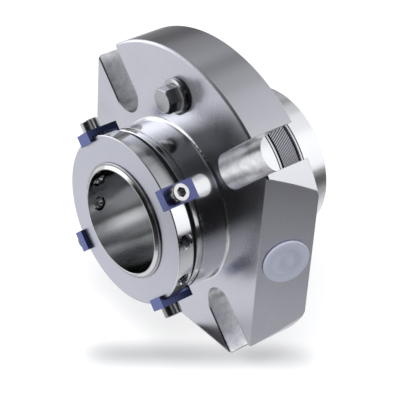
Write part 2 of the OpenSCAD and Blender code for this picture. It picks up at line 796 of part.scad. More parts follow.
// A socket head cap screw that holds a clip to the clamp ring
module clip_screw(a) {
    knurl_bevel = 0.4;
    color([0.62, 0.64, 0.67]) clock(a) translate([clip_top, clamp_mid, 0]) rotate([0, 90, 0]) difference() {
        union() {
            cylinder(r = clip_head_r, h = clip_head_h - knurl_bevel, $fn = small_fn);
            translate([0, 0, clip_head_h - knurl_bevel])
                cylinder(r1 = clip_head_r, r2 = clip_head_r - knurl_bevel, h = knurl_bevel, $fn = small_fn);
            translate([0, 0, -clip_screw_l]) cylinder(d = clip_screw_d, h = clip_screw_l + cut, $fn = small_fn);
        }
        translate([0, 0, clip_head_h - clip_socket_depth]) hexagon(clip_socket_af, clip_socket_depth + cut);
    }
}

gland_plate();
gland_gasket();
inboard_housing();
housing_o_ring();
excluder_ring();
vent_plug();
vent_washer();
port_plug_in();
port_plug_out();
antirotation_pins();
inboard_springs();
outboard_springs();
inboard_follower();
inboard_seal_face();
inboard_face_o_ring();
outboard_follower();
outboard_seal_face();
outboard_face_o_ring();
sleeve();
shaft_o_ring();
clamp_ring();
snap_ring();
rotary_holder();
drive_pins();
inboard_rotary_ring();
inboard_rotary_o_ring();
outboard_rotary_ring();
outboard_rotary_o_ring();
set_screw(screw_angles[0]);  // set_screw_1
set_screw(screw_angles[1]);  // set_screw_2
set_screw(screw_angles[2]);  // set_screw_3
set_screw(screw_angles[3]);  // set_screw_4
setting_clip(clip_angles[0]);  // setting_clip_1
setting_clip(clip_angles[1]);  // setting_clip_2
setting_clip(clip_angles[2]);  // setting_clip_3
setting_clip(clip_angles[3]);  // setting_clip_4
clip_screw(clip_angles[0]);  // clip_screw_1
clip_screw(clip_angles[1]);  // clip_screw_2
clip_screw(clip_angles[2]);  // clip_screw_3
clip_screw(clip_angles[3]);  // clip_screw_4
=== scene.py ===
"""Look of the double mechanical seal: materials, small details, studio and camera."""

import math
from collections import namedtuple

import bpy
import bmesh
from mathutils import Matrix, Vector


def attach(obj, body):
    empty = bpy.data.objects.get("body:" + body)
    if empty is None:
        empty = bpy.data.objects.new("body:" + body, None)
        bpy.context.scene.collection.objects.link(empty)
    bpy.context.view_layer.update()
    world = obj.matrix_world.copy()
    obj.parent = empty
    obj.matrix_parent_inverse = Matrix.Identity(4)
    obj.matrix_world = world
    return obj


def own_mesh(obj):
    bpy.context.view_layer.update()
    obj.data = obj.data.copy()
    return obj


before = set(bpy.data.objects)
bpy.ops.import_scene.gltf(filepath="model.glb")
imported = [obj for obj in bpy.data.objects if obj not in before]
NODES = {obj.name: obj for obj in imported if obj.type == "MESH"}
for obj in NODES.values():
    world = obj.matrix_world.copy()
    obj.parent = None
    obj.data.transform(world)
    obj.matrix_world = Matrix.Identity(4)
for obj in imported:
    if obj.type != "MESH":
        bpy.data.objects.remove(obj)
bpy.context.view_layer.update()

# Sizes and places that the looks share with the solids, in metres. The groove, the land and the fine line
# beside the knurled band are given from its middle.
PLATE_FRONT = -0.0247
RIM_R = 0.0767
SLOT_IN = 0.0444
SLOT_HALF = 0.0085
BOSS_FOOT_R = 0.0405
HOUSING_R = 0.03533
HOUSING_SKIN_R = 0.0344
BAND_Y = 0.0206
BAND_HALF = 0.00465
DEEP_GROOVE = (0.00455, 0.00572)
LAND = (0.00576, 0.00665)
FINE_LINE = (0.00682, 0.00745)
LIP_R = 0.0255
CLAMP_MID = -0.049275
CLAMP_R = 0.04068
SET_SCREW_R = 0.003
CLIP_HEAD_R = 0.00425
CLIP_SOCKET_R = 0.002
FLOOR_Z = -0.06023

# The knurl: the pitch of its deep and its faint ridges, and how much each kind slants
KNURL_PITCH = 0.00120
KNURL_SLANT = 0.56
FAINT_PITCH = 0.00190
FAINT_SLANT = 0.16

# How near a piece has to be to see the vent plug's painted reflection, a plain grey glow, and that glow's
# share there
PAINTED_REFLECTION_REACH = 0.0135
PAINTED_REFLECTION_SHARE = 0.8

# The stage: half the floor's width, how far above it its painted tone for reflections lies, where the
# painted shadow in front of the foot is, and the surround's radius and plain brightness
FLOOR_HALF = 6.0
TONE_LIFT = 0.0006
SHADOW_X = 0.0404
SHADOW_Y = -0.0372
DOME_R = 3.0
DOME_LEVEL = 0.08

# Directions: the bolt slots run along the diagonals, and the side flats lean away from the front
DIAGONAL = math.sqrt(0.5)
FLAT_SLOPE = math.radians(17)
SET_SCREW_ANGLES = (15, -15, 165, 195)
CLIP_ANGLES = (45, 135, 225, 315)

Place = namedtuple("Place", "co x y z r a")


class Tree:
    """A small helper that adds shader nodes and links them."""

    def __init__(self, tree):
        self.t = tree
        tree.nodes.clear()

    def add(self, kind, **values):
        n = self.t.nodes.new(kind)
        for key, value in values.items():
            setattr(n, key, value)
        return n

    def link(self, a, b):
        self.t.links.new(a, b)

    def put(self, value, socket):
        if isinstance(value, bpy.types.NodeSocket):
            self.link(value, socket)
        else:
            socket.default_value = value

    def math(self, op, a, b=0.0, clamp=False):
        n = self.add("ShaderNodeMath", operation=op, use_clamp=clamp)
        self.put(a, n.inputs[0])
        self.put(b, n.inputs[1])
        return n.outputs[0]

    def mul(self, a, *others):
        for b in others:
            a = self.math("MULTIPLY", a, b)
        return a

    def plus(self, a, b):
        return self.math("ADD", a, b)

    def minus(self, a, b):
        return self.math("SUBTRACT", a, b)

    def size(self, a):
        return self.math("ABSOLUTE", a)

    def wave(self, a):
        return self.math("SINE", a)

    def length(self, a, b):
        return self.math("SQRT", self.plus(self.mul(a, a), self.mul(b, b)))

    def step(self, value, low, high, to_low=0.0, to_high=1.0):
        """A soft step from one value below low to another above high."""
        n = self.add("ShaderNodeMapRange", interpolation_type="SMOOTHSTEP")
        self.put(value, n.inputs["Value"])
        for name, v in (("From Min", low), ("From Max", high), ("To Min", to_low), ("To Max", to_high)):
            self.put(v, n.inputs[name])
        return n.outputs["Result"]

    def below(self, value, low, high):
        """1 below low, falling softly to 0 at high."""
        return self.step(value, low, high, 1.0, 0.0)

    def near(self, value, low, high, width):
        """1 between low and high, falling softly to 0 over the width at both ends."""
        rise = self.step(value, low - width, low + width)
        return self.mul(rise, self.below(value, high - width, high + width))

    def mix_color(self, fac, a, b):
        n = self.add("ShaderNodeMix", data_type="RGBA")
        self.put(fac, n.inputs["Factor"])
        self.put(a, n.inputs[6])
        self.put(b, n.inputs[7])
        return n.outputs[2]

    def mix_value(self, fac, a, b):
        n = self.add("ShaderNodeMix", data_type="FLOAT")
        self.put(fac, n.inputs["Factor"])
        self.put(a, n.inputs[2])
        self.put(b, n.inputs[3])
        return n.outputs[0]

    def noise(self, vector, scale, detail, roughness=0.5):
        n = self.add("ShaderNodeTexNoise")
        self.put(vector, n.inputs["Vector"])
        self.put(scale, n.inputs["Scale"])
        self.put(detail, n.inputs["Detail"])
        self.put(roughness, n.inputs["Roughness"])
        return n.outputs["Fac"]

    def vector(self, x, y, z):
        n = self.add("ShaderNodeCombineXYZ")
        self.put(x, n.inputs[0])
        self.put(y, n.inputs[1])
        self.put(z, n.inputs[2])
        return n.outputs[0]


def material(name):
    m = bpy.data.materials.new(name)
    m.use_nodes = True
    return m, Tree(m.node_tree)


def place(t):
    """The point in the part's frame, its distance from the shaft axis and its angle round it."""
    co = t.add("ShaderNodeTexCoord").outputs["Object"]
    s = t.add("ShaderNodeSeparateXYZ")
    t.link(co, s.inputs[0])
    x, y, z = s.outputs
    return Place(co, x, y, z, t.length(x, z), t.math("ARCTAN2", z, x))


def facing(t):
    """The surface normal in the piece's own frame: its x, y and z."""
    s = t.add("ShaderNodeSeparateXYZ")
    t.link(t.add("ShaderNodeTexCoord").outputs["Normal"], s.inputs[0])
    return s.outputs


def surface(name, metallic):
    """A material with one principled shader: the material, its tree, the shader and the output."""
    m, t = material(name)
    bsdf = t.add("ShaderNodeBsdfPrincipled")
    out = t.add("ShaderNodeOutputMaterial")
    t.link(bsdf.outputs[0], out.inputs[0])
    bsdf.inputs["Metallic"].default_value = metallic
    return m, t, bsdf, out


def clouded(t, cloud, color, spread):
    """A colour that drifts with the cloud, by the spread to both sides."""
    dark = tuple(c * (1 - spread) for c in color) + (1,)
    light = tuple(min(1.0, c * (1 + spread)) for c in color) + (1,)
    return t.mix_color(t.step(cloud, 0.3, 0.7), dark, light)


def relief(t, bsdf, height, depth, edge=0.0, strength=1.0):
    """Fine relief of the given depth. Sharp edges are rounded over the radius edge."""
    bump = t.add("ShaderNodeBump")
    bump.inputs["Strength"].default_value = strength
    bump.inputs["Distance"].default_value = depth
    t.put(height, bump.inputs["Height"])
    if edge:
        bevel = t.add("ShaderNodeBevel", samples=4)
        bevel.inputs["Radius"].default_value = edge
        t.link(bevel.outputs[0], bump.inputs["Normal"])
    t.link(bump.outputs[0], bsdf.inputs["Normal"])


def add_painted_reflection(m, t, bsdf, out, level):
    """Painted reflection: pieces within reach see the surface in their reflections mostly as a plain glow at
    this brightness.
    """
    path = t.add("ShaderNodeLightPath")
    close = t.math("LESS_THAN", path.outputs["Ray Length"], PAINTED_REFLECTION_REACH)
    soft = t.add("ShaderNodeEmission")
    soft.inputs["Color"].default_value = (level, level, level, 1)
    mix = t.add("ShaderNodeMixShader")
    t.put(t.mul(close, path.outputs["Is Glossy Ray"], PAINTED_REFLECTION_SHARE), mix.inputs[0])
    t.link(bsdf.outputs[0], mix.inputs[1])
    t.link(soft.outputs[0], mix.inputs[2])
    t.link(mix.outputs[0], out.inputs[0])
    m.cycles.emission_sampling = "NONE"


def tool_lines(t, p, lay):
    """Lines left by the tool: round the shaft axis, along it, or in layers across a small piece. The factors
    say how densely they lie."""
    if lay == "round":
        grid = t.vector(t.mul(p.y, 5200.0), t.mul(p.r, 5200.0), t.mul(p.a, 1.5))
    elif lay == "along":
        grid = t.vector(t.mul(p.a, 260.0), t.mul(p.y, 20.0), p.r)
    else:
        grid = t.vector(t.mul(p.x, 60.0), t.mul(p.z, 60.0), t.mul(p.y, 1800.0))
    return t.noise(grid, 1.0, 2.0)


def steel(name, color, rough, lay, depth, edge=0.0003, grain=1.0, zones=None, painted_reflection=0.0):
    """Machined stainless steel. depth is that of the tool's lines; zones gives areas their own finish, with
    painted light and shade; painted_reflection is the brightness of a painted reflection that near pieces
    see.
    """
    m, t, bsdf, out = surface(name, 1.0)
    p = place(t)
    cloud = t.noise(p.co, 38.0 * grain, 4.0, 0.55)
    base = clouded(t, cloud, color, 0.04)
    roughness = t.step(cloud, 0.25, 0.75, rough * 0.86, rough * 1.14)
    if zones:
        base, roughness = zones(t, p, base, roughness)
    t.put(base, bsdf.inputs["Base Color"])
    t.put(roughness, bsdf.inputs["Roughness"])
    relief(t, bsdf, tool_lines(t, p, lay), depth, edge)
    if painted_reflection:
        add_painted_reflection(m, t, bsdf, out, painted_reflection)
    return m


def plastic(name, color, rough, speck, grain, depth, edge=0.0, metallic=0.0, sub=0.0, zones=None):
    """Moulded, painted or rubber surface with fine grain and a little uneven colour."""
    m, t, bsdf, _ = surface(name, metallic)
    p = place(t)
    fine = t.noise(p.co, grain, 2.0)
    base = clouded(t, t.noise(p.co, 60.0, 4.0, 0.6), color, speck)
    roughness = t.step(fine, 0.3, 0.7, rough * 0.9, rough * 1.1)
    if zones:
        base, roughness = zones(t, p, base, roughness)
    t.put(base, bsdf.inputs["Base Color"])
    t.put(roughness, bsdf.inputs["Roughness"])
    if sub:
        bsdf.inputs["Subsurface Weight"].default_value = sub
        bsdf.inputs["Subsurface Radius"].default_value = (1.0, 1.0, 1.0)
        bsdf.inputs["Subsurface Scale"].default_value = 0.002
    relief(t, bsdf, fine, depth, edge)
    return m


def boss_painted_reflection(t, p):
    """Painted reflection on the boss: brightest at the left, darkest right of the top, and lighter low on
    the right.
    """
    tone = t.mix_color(t.step(p.x, 0.0, 0.008), (0.84, 0.85, 0.87, 1), (0.54, 0.55, 0.57, 1))
    tone = t.mix_color(t.step(p.x, 0.023, 0.028), tone, (0.66, 0.67, 0.69, 1))
    low = t.mul(t.step(p.x, 0.030, 0.034), t.below(p.z, 0.002, 0.006))
    return t.mix_color(low, tone, (0.76, 0.77, 0.79, 1))


def slot_zone(t, p):
    """Where the bolt slots are, and the tone of each: painted light and shade that changes from slot to slot
    and along each, broken up by a blotchy end-milled texture.
    """
    ax, az = t.size(p.x), t.size(p.z)
    out = t.mul(t.plus(ax, az), DIAGONAL)
    beside = t.size(t.mul(t.minus(ax, az), DIAGONAL))
    inside = t.mul(t.step(out, SLOT_IN - 0.0004, SLOT_IN),
                   t.below(beside, SLOT_HALF + 0.0001, SLOT_HALF + 0.00016),
                   t.step(p.y, PLATE_FRONT + 0.00005, PLATE_FRONT + 0.0002))
    # Painted light and shade: the left slots grow lighter outwards, the upper right one is plain, and the
    # lower right one has a dark band and a bright open end
    left = t.step(out, 0.048, 0.056, 0.44, 0.57)
    lower_right = t.mix_value(t.near(out, 0.0475, 0.0505, 0.0010), 0.64, 0.46)
    lower_right = t.mix_value(t.step(out, 0.062, 0.074), lower_right, 0.84)
    right = t.mix_value(t.step(p.z, -0.001, 0.001), lower_right, 0.68)
    milled_and_painted_light = t.mix_value(t.step(p.x, -0.001, 0.001), left, right)
    milled_and_painted_light = t.mul(milled_and_painted_light, t.plus(t.mul(t.noise(p.co, 330.0, 3.0, 0.6), 0.9), 0.55))
    tone = t.add("ShaderNodeCombineColor")
    for socket, tint in zip(tone.inputs, (0.985, 0.99, 1.04)):
        t.put(t.mul(milled_and_painted_light, tint), socket)
    return inside, tone.outputs[0]


def slot_edge_shade(t, p):
    """Painted shade: the thin dark line on the front face, along the lower edge of the slots on one
    diagonal.
    """
    down = t.mul(t.plus(p.x, p.z), -DIAGONAL)
    along = t.size(t.mul(t.minus(p.x, p.z), DIAGONAL))
    return t.mul(t.near(down, SLOT_HALF, SLOT_HALF + 0.0011, 0.0001), t.step(along, 0.050, 0.054),
                 t.below(p.y, PLATE_FRONT + 0.0002, PLATE_FRONT + 0.0005))


# The zones functions take the tree, the place, and the colour and roughness so far, and return the last two
# with some areas changed.
def gland_zones(t, p, base, rough):
    """The boss is polished and given painted reflections, the rim milled with painted light and shade, the
    slots end milled with painted light and shade, a painted dark line of shade along some slot edges, and
    the front face ground.
    """
    rim = t.step(p.r, RIM_R - 0.0005, RIM_R - 0.0002)
    # Painted light and shade on the rim: lighter round the sides, darker over the top
    rim_top_shade = t.step(p.z, 0.049, 0.051)
    base = t.mix_color(rim, base, t.mix_color(rim_top_shade, (0.65, 0.655, 0.70, 1), (0.46, 0.465, 0.51, 1)))
    rough = t.mix_value(rim, rough, 0.24)
    boss = t.mul(t.below(p.y, PLATE_FRONT - 0.0002, PLATE_FRONT + 0.0001),
                 t.below(p.r, BOSS_FOOT_R, BOSS_FOOT_R + 0.0007))
    # Painted reflection on the polished boss
    base = t.mix_color(boss, base, boss_painted_reflection(t, p))
    rough = t.mix_value(boss, rough, 0.15)
    slot, milled_and_painted_light = slot_zone(t, p)
    base = t.mix_color(slot, base, milled_and_painted_light)
    rough = t.mix_value(slot, rough, 0.30)
    # A painted line of shade along the slot edges
    return t.mix_color(slot_edge_shade(t, p), base, (0.02, 0.02, 0.025, 1)), rough


def clamp_zones(t, p, base, rough):
    """The clamp ring's rim is polished, with painted light and shade round it: lighter at the left, darker
    right of the top, brightest at the far right and dark at the bottom.
    """
    rim = t.step(p.r, CLAMP_R - 0.00068, CLAMP_R - 0.00038)
    rim_painted_light = t.mix_color(t.step(p.x, 0.0, 0.014), (0.56, 0.57, 0.60, 1), (0.38, 0.39, 0.41, 1))
    rim_painted_light = t.mix_color(t.step(p.x, 0.0265, 0.0300), rim_painted_light, (0.78, 0.79, 0.82, 1))
    rim_painted_light = t.mix_color(t.below(p.z, -0.023, -0.013), rim_painted_light, (0.36, 0.37, 0.39, 1))
    return t.mix_color(rim, base, rim_painted_light), t.mix_value(rim, rough, 0.13)


def bore_zones(t, p, base, rough):
    """Painted light and shade in the bore: it is painted darker than the sleeve's bright end, apart from a
    painted lit part at the lower left.
    """
    bore = t.below(p.r, LIP_R - 0.00005, LIP_R + 0.00005)
    # Painted lit part at the lower left, and painted shade elsewhere in the bore
    lit = t.mul(t.step(p.a, -3.14, -2.80), t.below(p.a, -2.11, -1.56))
    dark = t.mix_color(t.step(p.z, -0.018, -0.012), (0.57, 0.58, 0.60, 1), (0.50, 0.51, 0.52, 1))
    bright = t.mix_color(t.step(p.a, -2.77, -2.10), (0.90, 0.905, 0.91, 1), (0.97, 0.975, 0.98, 1))
    base = t.mix_color(bore, base, t.mix_color(lit, dark, bright))
    return base, t.mix_value(bore, rough, 0.13)


def head_zones(angle, mid):
    """A socket head whose axis stands at an angle round the shaft: its side is knurled, painted lighter or
    darker by where the head sits, with its knurl's grooves painted as dark stripes of shade, and its socket
    is painted dark as shade.
    """
    c, s = math.cos(math.radians(angle)), math.sin(math.radians(angle))
    ridges = 60

    def zones(t, p, base, rough):
        across = t.minus(t.mul(p.z, c), t.mul(p.x, s))
        beside = t.minus(p.y, mid)
        far = t.length(across, beside)
        ridge = t.size(t.wave(t.mul(t.math("ARCTAN2", beside, across), ridges / 2)))
        side = t.step(far, CLIP_HEAD_R - 0.00025, CLIP_HEAD_R - 0.0001)
        # Painted light: the side is lighter on heads at the left, darker at the right and darkest low down
        side_painted_light = t.mix_color(t.step(p.x, -0.001, 0.001), (0.66, 0.66, 0.69, 1), (0.46, 0.46, 0.48, 1))
        side_painted_light = t.mix_color(t.step(p.z, -0.001, 0.001), (0.34, 0.34, 0.36, 1), side_painted_light)
        base = t.mix_color(side, base, side_painted_light)
        # Painted shade in the knurl's grooves
        knurl_shade = t.mul(side, t.below(ridge, 0.25, 0.75), 0.5)
        base = t.mix_color(knurl_shade, base, (0.06, 0.06, 0.065, 1))
        # Painted shade in the socket
        socket = t.below(far, CLIP_SOCKET_R - 0.0001, CLIP_SOCKET_R + 0.0002)
        return t.mix_color(socket, base, (0.20, 0.20, 0.21, 1)), rough

    return zones


def clip_zones(angle):
    """A setting clip of one blue, painted lighter or darker by which way each face looks: its ends
    brightest, its top a little darker, its sides and underside painted dark as shade.
    """
    c, s = math.cos(math.radians(angle)), math.sin(math.radians(angle))

    def zones(t, p, base, rough):
        nx, ny, nz = facing(t)
        # Painted light and shade by the direction of each face
        up = t.step(t.plus(t.mul(nx, c), t.mul(nz, s)), 0.6, 0.8)
        end = t.step(t.size(ny), 0.6, 0.8)
        base = t.mix_color(up, (0.055, 0.065, 0.155, 1), (0.100, 0.112, 0.265, 1))
        return t.mix_color(end, base, (0.138, 0.166, 0.385, 1)), rough

    return zones


def vent_zones(t, p, base, rough):
    """The vent plug's flats are painted darker than its turned face and flange as shade, those facing right
    darkest.
    """
    nx, ny, _ = facing(t)
    # Painted shade on the flats
    flat = t.below(t.size(ny), 0.3, 0.6)
    dark = t.mix_color(t.step(nx, 0.3, 0.6), (0.30, 0.31, 0.33, 1), (0.17, 0.175, 0.19, 1))
    return t.mix_color(flat, base, dark), rough


def plug_zones(side, mid):
    """A faint swirl of painted light and shade in the middle of a shipping plug's flange, whose middle lies
    at mid along the flat.
    """
    curl_in, curl_out = 0.007, 0.010
    twist = 800.0  # radians a metre

    def zones(t, p, base, rough):
        along = t.plus(t.mul(p.x, side * math.sin(FLAT_SLOPE)), t.mul(p.y, math.cos(FLAT_SLOPE)))
        along = t.minus(along, mid)
        far = t.length(along, p.z)
        inner = t.below(far, curl_in, curl_out)
        # Painted light and shade in a swirl round the flange's middle
        curl = t.wave(t.plus(t.math("ARCTAN2", p.z, along), t.mul(far, twist)))
        curl = t.mul(curl, t.step(far, 0.0, 0.003), inner)
        tone = t.mix_color(t.step(curl, -1.0, 1.0), (0.51, 0.53, 0.64, 1), (0.61, 0.63, 0.73, 1))
        return t.mix_color(inner, base, tone), rough

    return zones


def knurled_steel():
    """The inboard housing: polished, with a knurl on its recessed band and grooves beside it; the knurl's
    valleys and the grooves are painted dark as shade.
    """
    m, t, bsdf, _ = surface("housing_steel", 1.0)
    p = place(t)
    outer = t.step(p.r, HOUSING_SKIN_R - 0.0001, HOUSING_SKIN_R + 0.0001)
    band = t.mul(outer, t.near(p.y, BAND_Y - BAND_HALF, BAND_Y + BAND_HALF, 0.00005))

    # Two families of ridges: deep ones that slant, and faint ones that run almost round the housing
    arc = t.mul(p.a, HOUSING_R)
    ridge = t.size(t.wave(t.mul(t.minus(arc, t.mul(p.y, KNURL_SLANT)), math.pi / KNURL_PITCH)))
    faint = t.size(t.wave(t.mul(t.plus(p.y, t.mul(arc, FAINT_SLANT)), math.pi / FAINT_PITCH)))
    height = t.mul(t.plus(t.mul(ridge, 0.80), t.mul(faint, 0.20)), band)
    # Painted shade in the knurl's valleys
    valley_shade = t.mul(t.below(ridge, 0.30, 0.85), 0.95)
    valley_shade = t.math("MAXIMUM", valley_shade, t.mul(t.below(faint, 0.10, 0.45), 0.15))

    cloud = t.noise(p.co, 40.0, 4.0)
    base = t.mix_color(t.step(cloud, 0.3, 0.7), (0.70, 0.71, 0.74, 1), (0.78, 0.79, 0.82, 1))
    # The band is darker grey; its valleys, the deep grooves and the fine line beside it are painted dark as
    # shade
    base = t.mix_color(band, base, (0.47, 0.47, 0.52, 1))
    base = t.mix_color(t.mul(band, valley_shade), base, (0.045, 0.045, 0.055, 1))
    off = t.size(t.minus(p.y, BAND_Y))
    deep_groove_shade = t.mul(outer, t.near(off, *DEEP_GROOVE, 0.00004))
    base = t.mix_color(deep_groove_shade, base, (0.008, 0.008, 0.012, 1))
    fine_line_shade = t.mul(outer, t.near(off, *FINE_LINE, 0.00006))
    base = t.mix_color(fine_line_shade, base, (0.10, 0.10, 0.12, 1))
    land = t.mul(t.step(p.r, HOUSING_SKIN_R - 0.0004, HOUSING_SKIN_R - 0.0001), t.near(off, *LAND, 0.00005))
    base = t.mix_color(land, base, (0.50, 0.50, 0.53, 1))
    t.put(base, bsdf.inputs["Base Color"])
    t.put(t.mix_value(band, t.step(cloud, 0.3, 0.7, 0.17, 0.22), 0.38), bsdf.inputs["Roughness"])
    relief(t, bsdf, height, 0.0003, strength=0.8)
    return m


def dress(mat, *names):
    """Gives a material to the named solids."""
    for name in names:
        slots = NODES[name].data.materials
        slots.clear()
        slots.append(mat)


def middle(values):
    """Half way between the least and the greatest."""
    values = list(values)
    return (min(values) + max(values)) / 2


# Steel pieces
clamp_steel = steel("clamp_steel", (0.550, 0.560, 0.640), 0.30, "round", 0.000003, 0.0004,
                    zones=clamp_zones)
dress(clamp_steel, "clamp_ring")
dress(steel("gland_steel", (0.575, 0.580, 0.650), 0.27, "round", 0.000004, 0.0005, zones=gland_zones),
      "gland_plate")
dress(steel("sleeve_steel", (0.66, 0.66, 0.69), 0.14, "along", 0.000003, 0.0002, zones=bore_zones),
      "sleeve")
dress(knurled_steel(), "inboard_housing")
dress(steel("inner_steel", (0.60, 0.60, 0.62), 0.22, "round", 0.000003),
      "antirotation_pins", "inboard_follower", "outboard_follower", "rotary_holder", "drive_pins")
dress(steel("ring_steel", (0.40, 0.40, 0.42), 0.24, "round", 0.000003, 0.0002), "snap_ring")
# Near pieces see the vent plug as a painted grey reflection, and its flats are painted dark as shade
dress(steel("vent_steel", (0.42, 0.43, 0.455), 0.20, "layers", 0.000006, 0.0004, grain=4.0,
            zones=vent_zones, painted_reflection=0.34), "vent_plug")
dress(steel("spring_wire", (0.62, 0.63, 0.65), 0.25, "layers", 0.000001, 0.0),
      "inboard_springs", "outboard_springs")

# Rubber, gasket sheet and seal faces
dress(plastic("elastomer", (0.014, 0.014, 0.015), 0.45, 0.1, 3000.0, 0.00001),
      "housing_o_ring", "vent_washer", "shaft_o_ring", "inboard_face_o_ring", "outboard_face_o_ring",
      "inboard_rotary_o_ring", "outboard_rotary_o_ring")
dress(plastic("excluder", (0.006, 0.006, 0.007), 0.55, 0.1, 3000.0, 0.00001), "excluder_ring")
dress(plastic("gasket_sheet", (0.05, 0.05, 0.055), 0.7, 0.12, 2000.0, 0.00002), "gland_gasket")
dress(plastic("carbon", (0.03, 0.03, 0.033), 0.3, 0.1, 4000.0, 0.00001),
      "inboard_seal_face", "outboard_seal_face")
dress(plastic("hard_face", (0.06, 0.065, 0.075), 0.18, 0.06, 4000.0, 0.000004),
      "inboard_rotary_ring", "outboard_rotary_ring")

# Screws and clips round the clamp ring
point_steel = steel("point_steel", (0.42, 0.42, 0.44), 0.18, "layers", 0.000004, 0.0002, grain=4.0)
for k, angle in enumerate(CLIP_ANGLES, 1):
    dress(point_steel, f"set_screw_{k}")
    dress(plastic(f"clip_blue_{k}", (0.13, 0.15, 0.345), 0.26, 0.05, 3000.0, 0.00001, 0.0003, metallic=0.94,
                  zones=clip_zones(angle)), f"setting_clip_{k}")
    mid = middle(v.co.y for v in NODES[f"clip_screw_{k}"].data.vertices)
    dress(steel(f"head_steel_{k}", (0.64, 0.64, 0.66), 0.22, "layers", 0.000006, 0.0003, grain=4.0,
                zones=head_zones(angle, mid)), f"clip_screw_{k}")

# Shipping plugs in the ports of both side flats
for end, side in (("in", 1), ("out", -1)):
    mid = middle(side * v.co.x * math.sin(FLAT_SLOPE) + v.co.y * math.cos(FLAT_SLOPE)
                 for v in NODES[f"port_plug_{end}"].data.vertices)
    dress(plastic(f"plug_white_{end}", (0.59, 0.605, 0.71), 0.36, 0.03, 2000.0, 0.00001, 0.0004, sub=0.15,
                  zones=plug_zones(side, mid)), f"port_plug_{end}")


def link(o):
    bpy.context.scene.collection.objects.link(o)
    return o


def hole_thread(index, angle, body):
    """A helical thread ridge inside one set screw hole of the clamp ring, running in from the rim."""
    pitch, depth, steps_a_turn = 0.001, 0.00042, 28
    root = SET_SCREW_R + 0.00004
    start, end = 0.0360, CLAMP_R - 0.0009
    profile = ((0.0, -0.42), (-depth, -0.06), (-depth, 0.06), (0.0, 0.42))
    turns = (end - start) / pitch
    steps = int(turns * steps_a_turn)
    c, s = math.cos(math.radians(angle)), math.sin(math.radians(angle))
    aim = Matrix(((c, 0, -s), (0, 1, 0), (s, 0, c)))
    bm = bmesh.new()
    rings = []
    for i in range(steps + 1):
        f = i / steps
        w = 2 * math.pi * turns * f
        along = start + (end - start) * f
        ring = []
        for dr, da in profile:
            p = aim @ Vector((along + da * pitch, (root + dr) * math.cos(w), (root + dr) * math.sin(w)))
            ring.append(bm.verts.new((p.x, p.y + CLAMP_MID, p.z)))
        rings.append(ring)
    for a, b in zip(rings, rings[1:]):
        for j in range(4):
            bm.faces.new((a[j], a[(j + 1) % 4], b[(j + 1) % 4], b[j]))
    bm.faces.new(rings[0][::-1])
    bm.faces.new(rings[-1])
    bmesh.ops.recalc_face_normals(bm, faces=bm.faces)
    bm.normal_update()
    me = bpy.data.meshes.new(f"hole_thread_{index}")
    bm.to_mesh(me)
    bm.free()
    for face in me.polygons:
        face.use_smooth = True
    me.materials.append(clamp_steel)
    o = link(bpy.data.objects.new(f"hole_thread_{index}", me))
    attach(o, body)


for index, angle in enumerate(SET_SCREW_ANGLES, 1):
    hole_thread(index, angle, "rotor")


# Studio: floor, surround that only reflections see, lamp, world and camera
def rays(t):
    """1 for camera, glossy and transmission rays, else 0."""
    p = t.add("ShaderNodeLightPath")
    s = t.plus(p.outputs["Is Camera Ray"], p.outputs["Is Glossy Ray"])
    return t.math("ADD", s, p.outputs["Is Transmission Ray"], clamp=True)


def sheet(name, z):
    """A level square, far wider than the object."""
    s = FLOOR_HALF
    me = bpy.data.meshes.new(name)
    me.from_pydata([(-s, -s, z), (s, -s, z), (s, s, z), (-s, s, z)], [], [(0, 1, 2, 3)])
    return link(bpy.data.objects.new(name, me))


def make_floor():
    """White paper that keeps the object's own shadow, with a faint painted shadow in front of the foot."""
    o = sheet("floor", FLOOR_Z)
    m, t = material("floor_paper")
    p = place(t)
    dx, dy = t.minus(p.x, SHADOW_X), t.minus(p.y, SHADOW_Y)
    # u runs along the painted shadow and v across it, and both are 1 at its edge
    u = t.plus(t.mul(dx, 10.8), t.mul(dy, 13.3))
    v = t.minus(t.mul(dx, 58.1), t.mul(dy, 43.4))
    far = t.math("SQRT", t.plus(t.math("POWER", t.size(u), 9.0), t.mul(v, v)))
    # Painted shadow: the floor's lift is turned down inside the ellipse, most where u is low
    painted_shadow = t.step(far, 0.0, 1.0, t.step(u, -0.7, 0.6, 0.41, 0.55), 1.0)
    diffuse = t.add("ShaderNodeBsdfDiffuse")
    diffuse.inputs["Color"].default_value = (0.36, 0.362, 0.366, 1)
    lift = t.add("ShaderNodeEmission")
    t.put(t.mul(rays(t), 0.72, painted_shadow), lift.inputs["Strength"])
    add = t.add("ShaderNodeAddShader")
    t.link(diffuse.outputs[0], add.inputs[0])
    t.link(lift.outputs[0], add.inputs[1])
    out = t.add("ShaderNodeOutputMaterial")
    t.link(add.outputs[0], out.inputs[0])
    o.data.materials.append(m)


def glow(o, m, t, level):
    """Gives an object a patterned brightness that only reflections see."""
    lamp = t.add("ShaderNodeEmission")
    lamp.inputs["Color"].default_value = (1, 1, 1, 1)
    t.put(level, lamp.inputs["Strength"])
    out = t.add("ShaderNodeOutputMaterial")
    t.link(lamp.outputs[0], out.inputs[0])
    m.cycles.emission_sampling = "NONE"
    o.data.materials.append(m)
    o.visible_camera = False
    o.visible_diffuse = False
    o.visible_transmission = False
    o.visible_volume_scatter = False
    o.visible_shadow = False


def bearing(t, p):
    """Degrees round the floor from +Y towards +X, once from -180 to 180 and once from 0 to 360."""
    signed = t.mul(t.math("ARCTAN2", p.x, p.y), 180.0 / math.pi)
    return signed, t.plus(signed, t.mul(t.math("LESS_THAN", signed, 0.0), 360.0))


